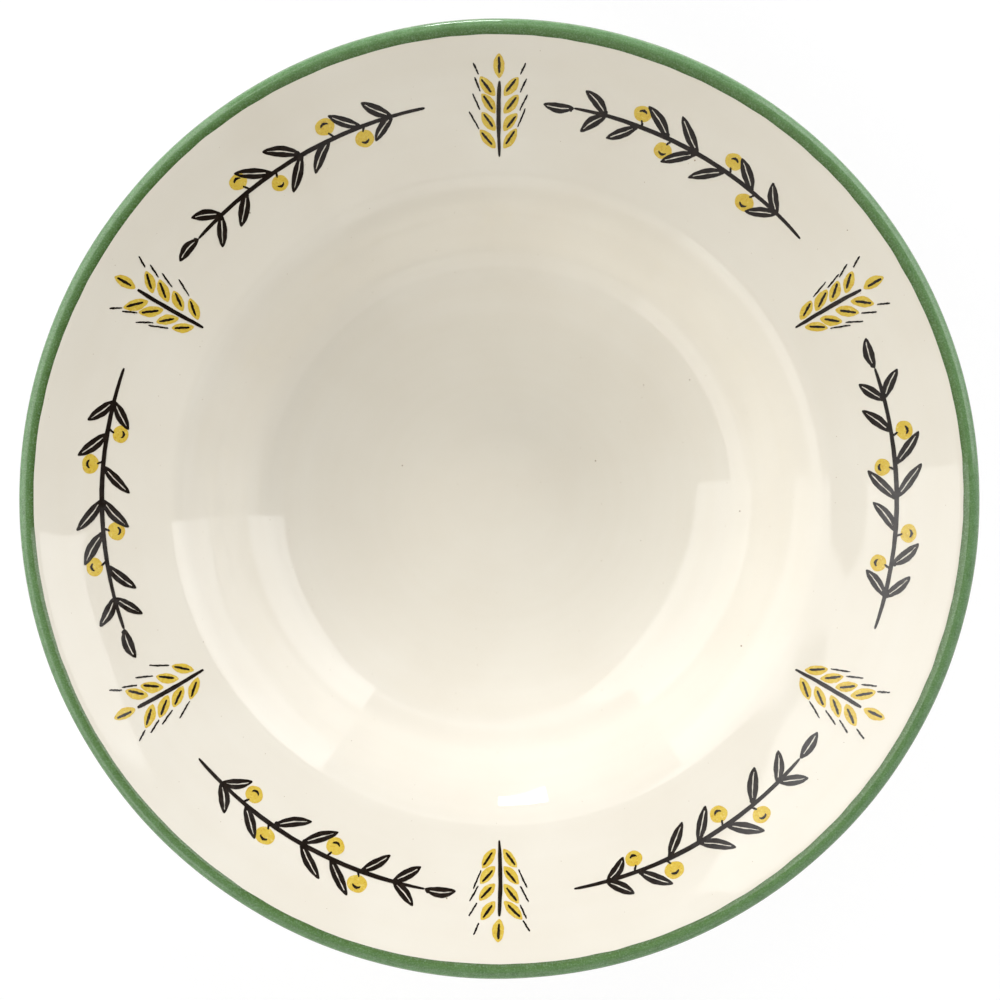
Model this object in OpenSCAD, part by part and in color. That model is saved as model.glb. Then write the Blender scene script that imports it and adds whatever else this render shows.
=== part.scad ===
// Wide-rimmed pasta bowl. One fired clay body carries coats of glaze, a coloured band
// round the lip and a print in two colours on the rim. The bowl stands on z = 0 with its
// axis on z. Lengths are millimetres and angles are degrees.

/* [Overall] */
// Diameter over the glazed lip
bowl_d = 270; // [262:1:284]
// Height from the table to the top of the glazed lip
bowl_h = 52; // [49:1:58]

/* [Well] */
// Diameter at the corner where the wall of the well turns out into the rim
well_d = 181; // [177:1:186]
// Diameter at the corner where the wall of the well starts to climb
wall_foot_d = 140; // [136:1:144]
// Diameter at the corner between the level middle of the floor and its slope
floor_d = 88; // [82:1:94]
// Slope of the floor where it reaches the wall
floor_slope = 19; // [17:0.5:21]
// Radius of the long dish of the floor
floor_sweep_r = 135; // [90:5:140]
// Radius of the tight sweep at the foot of the wall
wall_sweep_r = 21; // [14:0.5:22]
// Radius of the shoulder that rounds the corner at the rim
shoulder_r = 7; // [5:0.5:9]

/* [Rim] */
// Slope of the rim beside the shoulder
rim_inner_slope = 17.5; // [15:0.5:19]
// Slope of the rim beside the lip
rim_outer_slope = 21; // [19.5:0.5:23]
// Radius of the long hollow sweep between the two slopes
rim_sweep_r = 400; // [250:10:450]
// Radius of the rounded lip
lip_r = 1.9; // [1.4:0.1:2.1]

/* [Clay] */
// Thickness of the wall and of the rim beside the shoulder
wall_t = 5; // [4:0.1:5.6]
// Thickness of the rim at the lip
lip_t = 4.2; // [3.6:0.1:5]
// Thickness of the middle of the floor
floor_t = 5; // [4.4:0.1:6]
// Radius under the shoulder, where the wall runs out below the rim
under_shoulder_r = 12; // [6:1:14]

/* [Foot ring] */
// Diameter over the foot ring at the table
foot_d = 104; // [98:1:110]
// Width of the foot ring at the table
foot_w = 5.5; // [4:0.5:8]
// Height of the middle of the base above the table
base_h = 3; // [2.4:0.1:3.2]
// Height of the base above the table beside the foot ring
base_side_h = 3.8; // [3.5:0.1:3.9]
// Radius of the hollow of the base
base_sweep_r = 450; // [300:10:500]
// Lean of both sides of the foot ring
foot_lean = 12; // [6:1:18]
// Radius of the edges of the foot ring at the table
foot_edge_r = 0.8; // [0.4:0.1:1]
// Radius where the foot ring runs into the base
foot_root_r = 1.8; // [1:0.1:2.2]

/* [Glaze] */
// Thickness of every coat of glaze
glaze_t = 0.4; // [0.2:0.05:0.6]
// Width of the coloured band seen from above
band_top_w = 3.9; // [3:0.1:5]
// Width of the coloured band under the lip
band_under_w = 4.5; // [3:0.1:6]
// Height of the bare clay at the bottom of the foot ring
dry_h = 1.3; // [1.2:0.1:1.5]

/* [Print] */
// Thickness of the print over the glaze
print_t = 0.1; // [0.05:0.05:0.2]
// Width of a printed line
line_w = 1.2; // [0.8:0.1:1.6]
// Gap between a printed line and a shape beside it
line_gap = 0.7; // [0.4:0.1:1]
// Number of olive branches, and of the wheat ears between them
repeats = 6; // [4:1:6]
// Length of an olive leaf
leaf_l = 11; // [9:0.5:12]
// Width of an olive leaf
leaf_w = 2.9; // [2:0.1:3.4]
// Diameter of an olive
olive_d = 4.6; // [3.6:0.1:5]
// Distance between the pairs of leaves along the branch
leaf_pitch = 9.4; // [8.8:0.1:9.8]
// Length of a grain of wheat
grain_l = 6.6; // [5.6:0.1:7.2]
// Width of a grain of wheat
grain_w = 2.9; // [2.2:0.1:3]
// Distance between the pairs of grains along the ear
grain_pitch = 4.8; // [4.6:0.1:5.2]

/* [Hidden] */
$fn = 144;

ivory = "#ddd5c2";
band_green = "#5f8254";
biscuit = "#e3d3bb";
print_black = "#262522";
print_ochre = "#cda83c";

// An arc is drawn in chords no longer than this, and turns no more than this at each one
chord_l = 7;
chord_turn = 7.5;
// Share of a leg that the roundings at its two ends may take
leg_share = 0.98;

// Clay surfaces, inside the coats of glaze
clay_r = bowl_d / 2 - glaze_t;
well_r = well_d / 2;
floor_h = base_h + floor_t;
rim_mid_r = (well_r + clay_r) / 2;
rim_mid_rise = (rim_mid_r - well_r) * tan(rim_inner_slope);
rim_outer_rise = (clay_r - rim_mid_r) * tan(rim_outer_slope);
// The rounded lip peaks a little below the corner that it rounds
lip_loss = lip_r * (tan(rim_outer_slope) + 1 / cos(rim_outer_slope) - 1);
lip_h = bowl_h - glaze_t + lip_loss;
shoulder_h = lip_h - rim_outer_rise - rim_mid_rise;

// Corners of the inside surface: [distance from the axis, height, radius of the rounding]
centre = [0, floor_h, 0];
floor_corner = [floor_d / 2, floor_h, floor_sweep_r];
wall_foot = [wall_foot_d / 2, floor_h + (wall_foot_d - floor_d) / 2 * tan(floor_slope),
             wall_sweep_r];
shoulder = [well_r, shoulder_h, shoulder_r];
rim_middle = [rim_mid_r, shoulder_h + rim_mid_rise, rim_sweep_r];
band_top_edge = [clay_r - band_top_w, lip_h - band_top_w * tan(rim_outer_slope), 0];
lip_corner = [clay_r, lip_h, lip_r];
under_lip_corner = [clay_r, lip_h - lip_t / cos(rim_outer_slope), lip_r];

// The underside follows the inside at the thickness of the clay
under_rim = inset(shoulder, rim_middle, lip_corner, (wall_t + lip_t) / 2, rim_sweep_r);
under_shoulder = inset(wall_foot, shoulder, rim_middle, wall_t, under_shoulder_r);
under_wall_foot = inset(floor_corner, wall_foot, shoulder, wall_t, wall_sweep_r + wall_t);
under_floor_corner = inset(centre, floor_corner, wall_foot, wall_t, floor_sweep_r + wall_t);
band_under_edge = along(under_lip_corner, under_rim, band_under_w);

// The foot ring leans in on both sides, towards its middle
foot_r = foot_d / 2;
lean_run = tan(foot_lean);
foot_inner_r = foot_r - foot_w;
foot_root = meet([foot_r, 0], [foot_r + base_h * lean_run, base_h],
                 under_floor_corner, under_wall_foot, foot_root_r);
dry_outer_edge = [foot_r + dry_h * lean_run, dry_h, 0];
dry_inner_edge = [foot_inner_r - dry_h * lean_run, dry_h, 0];
base_corner = [foot_inner_r - base_side_h * lean_run, base_side_h, foot_root_r];
base_middle = [base_corner[0] / 2, base_h, base_sweep_r];
base_centre = [0, base_h, 0];

// Stretches of the clay surface between one coat and the next
inside_run = rounded([centre, floor_corner, wall_foot, shoulder, rim_middle, band_top_edge]);
lip_run = rounded([band_top_edge, lip_corner, under_lip_corner, band_under_edge]);
outside_run = rounded([band_under_edge, under_rim, under_shoulder, under_wall_foot, foot_root,
                       dry_outer_edge]);
foot_run = rounded([dry_outer_edge, [foot_r, 0, foot_edge_r], [foot_inner_r, 0, foot_edge_r],
                    dry_inner_edge]);
base_run = rounded([dry_inner_edge, base_corner, base_middle, base_centre]);
rim_run = [for (p = inside_run) if (p[0] > well_r) p];

// Layout of the print round the rim
print_r = (well_r + shoulder_r / 2 + clay_r - band_top_w) / 2;
repeat_turn = 360 / repeats;
leaf_pairs = 7;
leaf_turn = leaf_pitch / print_r * 180 / PI;
leaf_lean = 40;
// Length of each pair of leaves along the branch, as a share of the full leaf
leaf_l_shares = [0.8, 0.92, 1, 1, 1, 0.92, 0.8];
// Pairs at which an olive takes the place of the leaf, outside and inside the branch
outer_olives = [2, 5];
inner_olives = [1, 4];
grain_pairs = 4;
grain_lean = 38;
ear_l = grain_pairs * grain_pitch + grain_l;
// Straight sides of the small printed shapes
oval_steps = 6;
olive_sides = 12;

// Direction from one corner to the next
function heading(a, b) = atan2(b[1] - a[1], b[0] - a[0]);

// Change of direction at a corner, between -180 and 180
function turn_at(a, b, c) =
    let (t = heading(b, c) - heading(a, b))
    t > 180 ? t - 360 : t < -180 ? t + 360 : t;

function leg(a, b) = norm([b[0] - a[0], b[1] - a[1]]);

// The point on the line from a to b that lies l away from a, as a corner with no rounding
function along(a, b, l) =
    let (h = heading(a, b)) [a[0] + l * cos(h), a[1] + l * sin(h), 0];

// The corner of the underside that lies t below both legs of the corner b
function inset(a, b, c, t, r) =
    let (half = turn_at(a, b, c) / 2, mid = heading(a, b) + half, d = t / cos(half))
    [b[0] + d * sin(mid), b[1] - d * cos(mid), r];

// The corner where the line through a and b meets the line through c and d
function meet(a, b, c, d, r) =
    let (
        u = [b[0] - a[0], b[1] - a[1]],
        v = [d[0] - c[0], d[1] - c[1]],
        k = ((c[0] - a[0]) * v[1] - (c[1] - a[1]) * v[0]) / (u[0] * v[1] - u[1] * v[0])
    )
    [a[0] + k * u[0], a[1] + k * u[1], r];

// Length that a rounding takes from each leg of its corner
function takes(c, i) =
    i == 0 || i == len(c) - 1 ? 0
    : c[i][2] * abs(tan(turn_at(c[i - 1], c[i], c[i + 1]) / 2));

// Share of that length for which the leg from corner i to the next has room
function room_share(c, i) =
    let (need = takes(c, i) + takes(c, i + 1), room = leg_share * leg(c[i], c[i + 1]))
    need > room ? room / need : 1;

// Points round one corner: [distance from the axis, height, direction of travel]
function corner_points(c, i) =
    i == 0 ? [[c[0][0], c[0][1], heading(c[0], c[1])]]
    : i == len(c) - 1 ? [[c[i][0], c[i][1], heading(c[i - 1], c[i])]]
    : let (
        start = heading(c[i - 1], c[i]),
        turn = turn_at(c[i - 1], c[i], c[i + 1]),
        side = sign(turn),
        r = c[i][2] * min(room_share(c, i - 1), room_share(c, i)),
        back = r * abs(tan(turn / 2)),
        centre = [
            c[i][0] - back * cos(start) - side * r * sin(start),
            c[i][1] - back * sin(start) + side * r * cos(start)
        ],
        steps = max(1, ceil(abs(turn) / chord_turn),
                    ceil(abs(turn) * PI / 180 * r / chord_l))
    )
    [for (k = [0 : steps])
        let (h = start + turn * k / steps)
        [centre[0] + side * r * sin(h), centre[1] - side * r * cos(h), h]];

// A run of corners with every inner corner rounded
function rounded(c) = [for (i = [0 : len(c) - 1]) each corner_points(c, i)];

// The same run at a height off the clay
function lifted(run, off) =
    [for (p = run) [p[0] - off * sin(p[2]), p[1] + off * cos(p[2])]];

function reversed(list) = [for (i = [len(list) - 1 : -1 : 0]) list[i]];

// Layer of even thickness that lies on a run, from one height off the clay to another
module coat(run, low, high) {
    rotate_extrude()
        polygon(concat(lifted(run, low), reversed(lifted(run, high))));
}

// What lies between the outlines of its children and the surface of the rim
module printed() {
    intersection() {
        coat(rim_run, glaze_t, glaze_t + print_t);
        linear_extrude(bowl_h) children();
    }
}

// Pointed oval, from its stalk at the origin along x, with an arc on each side
module pointed_oval(l, w) {
    r = (l * l + w * w) / (4 * w);
    half = asin(l / (2 * r));
    side = [for (k = [0 : oval_steps])
        let (h = half * (2 * k / oval_steps - 1))
        [l / 2 + r * sin(h), r * cos(h) - r + w / 2]];
    polygon(concat(side, [for (k = [oval_steps - 1 : -1 : 1]) [side[k][0], -side[k][1]]]));
}

// Place at an angle round the rim, with x pointing along the branch
module on_branch(angle) {
    rotate(angle) translate([print_r, 0]) rotate(90) children();
}

// Stem of the branch, as a strip round the axis
module branch_stem() {
    half = (leaf_pairs + 1) / 2 * leaf_turn;
    far = 2 * print_r;
    intersection() {
        difference() {
            circle(print_r + line_w / 2);
            circle(print_r - line_w / 2);
        }
        polygon([[0, 0], [far * cos(half), -far * sin(half)],
                 [far * cos(half), far * sin(half)]]);
    }
}

function pair_angle(i) = (i - (leaf_pairs - 1) / 2) * leaf_turn;

module branch_leaves() {
    for (i = [0 : leaf_pairs - 1], side = [-1, 1])
        if (len(search(i, side < 0 ? outer_olives : inner_olives)) == 0)
            on_branch(pair_angle(i)) rotate(side * leaf_lean)
                pointed_oval(leaf_l * leaf_l_shares[i], leaf_w);
    on_branch(pair_angle(leaf_pairs)) pointed_oval(leaf_l * leaf_l_shares[0], leaf_w);
}

module olive() {
    circle(d = olive_d, $fn = olive_sides);
}

module branch_olives() {
    off = (line_w + olive_d) / 2 + line_gap;
    for (i = outer_olives) on_branch(pair_angle(i)) translate([0, -off]) olive();
    for (i = inner_olives) on_branch(pair_angle(i)) translate([0, off]) olive();
}

// Wheat ear, with its stalk towards the well and its tip towards the lip
module ear_grains() {
    for (i = [0 : grain_pairs - 1], side = [-1, 1])
        translate([i * grain_pitch - ear_l / 2, side * (line_w / 2 + line_gap)])
            rotate(side * grain_lean) pointed_oval(grain_l, grain_w);
    translate([ear_l / 2 - grain_l, 0]) pointed_oval(grain_l, grain_w);
}

module ear_stalk() {
    start = -ear_l / 2 - grain_pitch / 2;
    translate([start, -line_w / 2])
        square([ear_l / 2 - grain_l - line_gap - start, line_w]);
}

// Place of the ear that follows the branch
module on_ear() {
    rotate(repeat_turn / 2) translate([print_r, 0]) children();
}

module on_every_repeat() {
    for (k = [0 : repeats - 1]) rotate(k * repeat_turn) children();
}

module clay_body() {
    outline = concat(inside_run, lip_run, outside_run, foot_run, base_run);
    color(biscuit) rotate_extrude() polygon(lifted(outline, 0));
}

module inside_glaze() {
    color(ivory) coat(inside_run, 0, glaze_t);
}

module outside_glaze() {
    color(ivory) coat(outside_run, 0, glaze_t);
}

module base_glaze() {
    color(ivory) coat(base_run, 0, glaze_t);
}

module rim_band() {
    color(band_green) coat(lip_run, 0, glaze_t);
}

module black_print() {
    color(print_black) on_every_repeat() printed() {
        branch_stem();
        branch_leaves();
        on_ear() ear_stalk();
    }
}

module ochre_print() {
    color(print_ochre) on_every_repeat() printed() {
        branch_olives();
        on_ear() ear_grains();
    }
}

clay_body();
inside_glaze();
outside_glaze();
base_glaze();
rim_band();
black_print();
ochre_print();
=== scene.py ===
import math
import random

import bpy
import numpy as np
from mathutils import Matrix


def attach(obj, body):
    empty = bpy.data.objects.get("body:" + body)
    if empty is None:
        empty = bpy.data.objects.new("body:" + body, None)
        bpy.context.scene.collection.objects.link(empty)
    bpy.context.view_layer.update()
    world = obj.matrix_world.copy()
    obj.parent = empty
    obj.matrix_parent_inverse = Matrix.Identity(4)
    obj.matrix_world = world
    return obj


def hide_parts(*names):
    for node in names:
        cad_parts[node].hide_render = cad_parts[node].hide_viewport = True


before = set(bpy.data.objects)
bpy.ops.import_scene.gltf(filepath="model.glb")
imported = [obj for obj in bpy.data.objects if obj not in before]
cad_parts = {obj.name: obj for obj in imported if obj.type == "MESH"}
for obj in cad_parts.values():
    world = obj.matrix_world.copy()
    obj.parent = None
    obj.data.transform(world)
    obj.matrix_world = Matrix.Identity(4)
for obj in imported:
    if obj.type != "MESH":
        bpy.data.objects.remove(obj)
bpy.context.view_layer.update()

# Bowl, as in the CAD model
BOWL_D = 0.270
BOWL_H = 0.052
WELL_D = 0.181
WALL_FOOT_D = 0.140
FLOOR_D = 0.088
FLOOR_SLOPE = 19
FLOOR_SWEEP_R = 0.135
WALL_SWEEP_R = 0.021
SHOULDER_R = 0.007
RIM_INNER_SLOPE = 17.5
RIM_OUTER_SLOPE = 21
RIM_SWEEP_R = 0.400
LIP_R = 0.0019
WALL_T = 0.005
LIP_T = 0.0042
FLOOR_T = 0.005
UNDER_SHOULDER_R = 0.012
FOOT_D = 0.104
FOOT_W = 0.0055
BASE_H = 0.003
BASE_SIDE_H = 0.0038
BASE_SWEEP_R = 0.450
FOOT_LEAN = 12
FOOT_EDGE_R = 0.0008
FOOT_ROOT_R = 0.0018
GLAZE_T = 0.0004
BAND_TOP_W = 0.0039
BAND_UNDER_W = 0.0045
DRY_H = 0.0013

# Print. Leans are degrees off the line that a stroke starts from, and shares are of the length
# or the size of the leaf, olive or grain that they belong to.
LINE_W = 0.0012
LINE_GAP = 0.0007
REPEATS = 6
LEAF_L = 0.011
LEAF_W = 0.0029
OLIVE_D = 0.0046
OLIVE_STRETCH = 1.16
OLIVE_STALK_LEAN = 60
OLIVE_STALK_SHARE = 1 / 3
OLIVE_MARK_SHARES = (0.25, 0.1, 0.5, 1 / 9)
LEAF_PITCH = 0.0094
LEAF_LEAN = 40
LEAF_BEND = 0.0006
VEIN_GAP = 0.0003
VEIN_SHARES = (0.18, 0.86)
LEAF_END_SPREAD = 2
LEAF_L_SHARES = (0.8, 0.92, 1, 1, 1, 0.92, 0.8)
OUTER_OLIVES = (2, 5)
INNER_OLIVES = (1, 4)
GRAIN_L = 0.0066
GRAIN_W = 0.0029
GRAIN_PITCH = 0.0048
GRAIN_PAIRS = 4
GRAIN_LEAN = 38
RIB_W = 0.0007
RIB_SHARES = (0.2, 0.88)
AWN_L = 0.0056
AWN_W = 0.0005
AWN_LEAN = 15
AWN_SHORTER_SHARE = 0.125

# How far the print stands over the glaze and reaches into it. Shapes that follow each other
# stand a step apart, so that those that cross share no face.
OCHRE_RISE = 0.00002
BLACK_RISE = 0.00005
PRINT_SINK = 0.00002
PRINT_STEP = 0.000005
PRINT_LAYERS = 5

# How far the hand strays from the drawing, and how fine its strokes are
HAND_SEED = 11
HAND_LEAN = 5
HAND_SIZE = 0.06
HAND_EDGE = 0.00006
HAND_SHIFT = 0.00025
HAND_WAVES = (1.1, 2.3, 4.1)
STROKE_STEPS = 22
STROKE_ACROSS = 4
STROKE_TIP_SHARE = 0.025
BRUSH_FULL = 0.7
LINE_FULL = 0.22
STEM_FULL = 0.18
BLOT_STEPS = 15
BLOT_LOBES = (2, 3, 5)
BLOT_EDGE_SHARE = 0.014

# Fineness of the meshes
CHORD_L = 0.0008
CHORD_TURN = 2.5
LEG_SHARE = 0.98
TURNS = 432
SHARP_TURN = 40
SMALL_SHARE = 0.0001
AT_AXIS = GLAZE_T / 100
LEAST_STEP = CHORD_L / 1000

# The glazed shoulder is softer than the solid's, and at most 0.2 mm off it
SOFT_SHOULDER_R = 0.014

# How strongly each surface mirrors
IVORY_IOR = 1.5
BISCUIT_IOR = 1.5
GREEN_IOR = 1.52
ENAMEL_IOR = 1.65

# Patches of another tone: the size and detail of their noise, the noise at which they start and
# at which they are full, and the most that they hide
IVORY_CLOUDS = (0.03, 3, 0.3, 0.7, 1)
GREEN_POOLS = (0.0022, 3, 0.45, 0.75, 0.3)
GREEN_PALE_FLECKS = (0.0005, 2, 0.48, 0.7, 0.32)
GREEN_DARK_FLECKS = (0.0004, 1, 0.5, 0.7, 0.32)
BISCUIT_GRIT = (0.0006, 2, 0.55, 0.75, 0.5)
BLACK_THINNED = (0.0011, 3, 0.5, 0.8, 0.5)
OCHRE_RED_STIPPLE = (0.0005, 2, 0.52, 0.66, 0.55)
OCHRE_PALE_STIPPLE = (0.0007, 1, 0.6, 0.72, 0.5)

# Slow changes of tone: the size and detail of their noise
BISCUIT_CLOUDS = (0.009, 3)
OCHRE_CLOUDS = (0.0035, 2)

# The noise from which and up to which a soft change runs
SOFT = (0.3, 0.7)

# Turning rings of the ivory: the size and detail of their noise, and the most that they hide
IVORY_RINGS = (0.0045, 3)
IVORY_RING_SHARE = 0.15

# Specks: the pitch of the squares, the size of the largest and the share of squares with one.
# The smallest is a share of the largest, and each is full within a share of its radius.
IVORY_SPECKS = (0.014, 0.0003, 0.07)
IVORY_FINE_SPECKS = (0.006, 0.00014, 0.15)
BISCUIT_SPECKS = (0.0022, 0.0002, 0.3)
BLACK_SPECKS = (0.0007, 0.00006, 0.12)
SPECK_FADE = 0.02
SPECK_LEAST = 0.4
SPECK_CORE = 0.6

# Sheen: the size of its noise, and the least and the most roughness
IVORY_SHEEN = (0.012, 0.02, 0.04)
GREEN_SHEEN = (0.003, 0.04, 0.09)
BISCUIT_SHEEN = (0.002, 0.78, 0.92)
ENAMEL_SHEEN = (0.002, 0.08, 0.16)

# Fine relief: the size and detail of its noise, and its depth. The ivory has faint rings too.
IVORY_PEEL = (0.0016, 1)
IVORY_TURNING_L = 0.0032
IVORY_TURNING_SHARE = 0.5
GREEN_RELIEF = (0.0014, 2)
BISCUIT_RELIEF = (0.0005, 3)
BLACK_RELIEF = (0.0009, 2)
OCHRE_RELIEF = (0.0006, 2)
IVORY_DEPTH = 0.0000006
GREEN_DEPTH = 0.000003
BISCUIT_DEPTH = 0.00003
ENAMEL_DEPTH = 0.0000012

# Where the green changes, as shares of the way across the band from its top to its underside
GREEN_SWAY_L = 0.004
GREEN_SWAY = 0.05
GREEN_EDGE = (0, 0.10)
GREEN_FULL = (0.1, 0.34)
# Across the lip's crest the green is paler where the glaze breaks thin, and paler still as a
# painted highlight
GREEN_BREAK_AND_HIGHLIGHT = (0.36, 0.46)
GREEN_BREAK_HIGHLIGHT_SHARE = 0.7
GREEN_UNDER = (0.56, 0.7)

# Length over which the edge of a coat is rounded, and its least share of the thickness
SEAM_EDGE = (0.0003, 0.88)
DRY_EDGE = (0.0008, 0.15)
WHOLE_EDGE = (0.0001, 1)

# How the hand and the kiln depart from the drawing
WAVE_SEED = 7
WAVE_COUNT = 14
WAVE_RISE = 0.000035
WAVE_LENGTHS = (0.022, 0.060)
BAND_SHIFT = 0.00036
BAND_SHIFT_TURN = 40
BAND_WANDER = 0.0001
BAND_RIPPLE = 0.00004
BAND_SEED = 3

# Waves of the band's edges: the fewest and the most to one turn of the bowl, and how many of
# them add up
TOP_WANDER = ((2, 9), 7)
UNDER_WANDER = ((2, 14), 9)
RIPPLES = ((30, 110), 16)

# Camera, which looks straight down
CAMERA_H = 1.20
CAMERA_LENS = 147.3
CAMERA_SENSOR = 36
CAMERA_SHIFT = (0.0006, -0.0014)

# Light tent round the bowl. Tilts are degrees off straight up as the bowl sees them, azimuths
# are degrees from +X, and a light of 1 looks as bright as a white surface. The upper edges are
# the ones that the glaze mirrors.
LEFT_EDGE = ((112, 30), (136, 26), (160, 25), (184, 26))
RIGHT_EDGE = ((4, 31), (57, 34))
NEAR_EDGE = ((184, 27), (216, 25), (252, 22.5), (288, 23), (324, 26.5), (364, 30))
FAR_EDGE = ((57, 34), (112, 30), (124, 28))

# Tilts at which the cloths of the tent end, the azimuths that each spans, the tilts between
# which the fills lie, and how far off all of them are
UPPER_TILT = 42
MIDDLE_TILT = 58
LOWER_TILT = 70
FOOT_TILT = 87
RIGHT_UPPER_TILT = 37
LEFT_SPAN = (125, 184)
LEFT_TOP_SPAN = (112, 184)
RIGHT_SPAN = (4, 57)
NEAR_LEFT_SPAN = (184, 235)
NEAR_SPAN = (235, 300)
NEAR_RIGHT_SPAN = (300, 345)
NEAR_CORNER_SPAN = (345, 364)
FAR_SPAN = (57, 125)
FAR_TOP_SPAN = (57, 112)
HIGH_FILL = (30, 50)
MIDDLE_FILL = (50, 68)
LOW_FILL = (68, 78)
TENT_R = 1.2
RIGHT_R = 2.5
FILL_R = 3.0
WALL_ACROSS = 14
WALL_DOWN = 8

WHITE = (1, 1, 1)
DAYLIGHT = (0.98, 1, 1.06)
LAMPLIGHT = (1, 1, 0.99)

# The low window that shows as small glints on the lip and the near wall
WINDOW_R = 1.1
WINDOW_AZIMUTH = 94.3
WINDOW_TILT = 85.9
WINDOW_W = 0.178
WINDOW_H = 0.148
WINDOW_LIGHT = 26

# Floor: its glow and its colour are what the camera sees, and the bounce is for all other rays
FLOOR_SIDE = 8.0
FLOOR_DROP = 0.00005
FLOOR_GLOW = 0.86
FLOOR_COLOUR = 0.16
FLOOR_BOUNCE = 0.8


def srgb(red, green, blue):
    """Linear colour of the three values from 0 to 255 that a screen shows it by."""
    shares = [v / 255 for v in (red, green, blue)]
    return tuple(v / 12.92 if v <= 0.04045 else ((v + 0.055) / 1.055) ** 2.4 for v in shares)


# Colours of the materials
IVORY = srgb(224, 217, 202)
IVORY_PALE = srgb(228, 222, 208)
IVORY_RING = srgb(221, 213, 195)
IVORY_SPECK = srgb(150, 130, 104)
IVORY_FINE_SPECK = srgb(176, 158, 130)
GREEN_AT_EDGE = srgb(68, 94, 46)
GREEN_NEAR_EDGE = srgb(88, 118, 68)
GREEN = srgb(110, 146, 100)
# Pale green over the lip: thin glaze, lightened further as a painted highlight
GREEN_THIN_AND_HIGHLIGHT = srgb(164, 184, 142)
GREEN_BELOW = srgb(84, 114, 64)
GREEN_POOL = srgb(62, 92, 48)
GREEN_PALE_FLECK = srgb(142, 172, 140)
GREEN_DARK_FLECK = srgb(50, 78, 40)
BISCUIT = srgb(222, 204, 176)
BISCUIT_PALE = srgb(230, 214, 190)
BISCUIT_GRAIN = srgb(196, 172, 140)
BISCUIT_SPECK = srgb(140, 112, 84)
BLACK = srgb(28, 21, 16)
BLACK_THIN = srgb(66, 54, 43)
BLACK_SPECK = srgb(120, 108, 90)
OCHRE = srgb(204, 170, 52)
OCHRE_YELLOW = srgb(216, 192, 84)
OCHRE_RED = srgb(190, 138, 44)
OCHRE_PALE = srgb(228, 208, 130)


def heading(a, b):
    return math.atan2(b[1] - a[1], b[0] - a[0])


def turn_at(a, b, c):
    """Change of direction at the corner b, between minus and plus half a turn."""
    return (heading(b, c) - heading(a, b) + math.pi) % (2 * math.pi) - math.pi


def leg(a, b):
    return math.hypot(b[0] - a[0], b[1] - a[1])


def along(a, b, length):
    """The point on the line from a to b that lies length away from a."""
    h = heading(a, b)
    return (a[0] + length * math.cos(h), a[1] + length * math.sin(h), 0)


def inset(a, b, c, depth, radius):
    """The corner of the underside that lies depth below both legs of the corner b."""
    half = turn_at(a, b, c) / 2
    middle = heading(a, b) + half
    d = depth / math.cos(half)
    return (b[0] + d * math.sin(middle), b[1] - d * math.cos(middle), radius)


def meet(a, b, c, d, radius):
    """The corner where the line through a and b meets the line through c and d."""
    u = (b[0] - a[0], b[1] - a[1])
    v = (d[0] - c[0], d[1] - c[1])
    k = ((c[0] - a[0]) * v[1] - (c[1] - a[1]) * v[0]) / (u[0] * v[1] - u[1] * v[0])
    return (a[0] + k * u[0], a[1] + k * u[1], radius)


def takes(c, i):
    """Length that a rounding takes from each leg of its corner."""
    if i in (0, len(c) - 1):
        return 0
    return c[i][2] * abs(math.tan(turn_at(c[i - 1], c[i], c[i + 1]) / 2))


def room_share(c, i):
    need = takes(c, i) + takes(c, i + 1)
    room = LEG_SHARE * leg(c[i], c[i + 1])
    return room / need if need > room else 1


def corner_points(c, i):
    """Points round one corner: distance from the axis, height and direction of travel."""
    if i == 0:
        return [(c[0][0], c[0][1], heading(c[0], c[1]))]
    start = heading(c[i - 1], c[i])
    if i == len(c) - 1:
        return [(c[i][0], c[i][1], start)]
    turn = turn_at(c[i - 1], c[i], c[i + 1])
    side = math.copysign(1, turn)
    r = c[i][2] * min(room_share(c, i - 1), room_share(c, i))
    back = r * abs(math.tan(turn / 2))
    middle_r = c[i][0] - back * math.cos(start) - side * r * math.sin(start)
    middle_z = c[i][1] - back * math.sin(start) + side * r * math.cos(start)
    steps = max(1, math.ceil(abs(turn) / math.radians(CHORD_TURN)),
                math.ceil(abs(turn) * r / CHORD_L))
    points = []
    for k in range(steps + 1):
        h = start + turn * k / steps
        points.append((middle_r + side * r * math.sin(h), middle_z - side * r * math.cos(h), h))
    return points


def rounded(corners):
    return [p for i in range(len(corners)) for p in corner_points(corners, i)]


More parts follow.
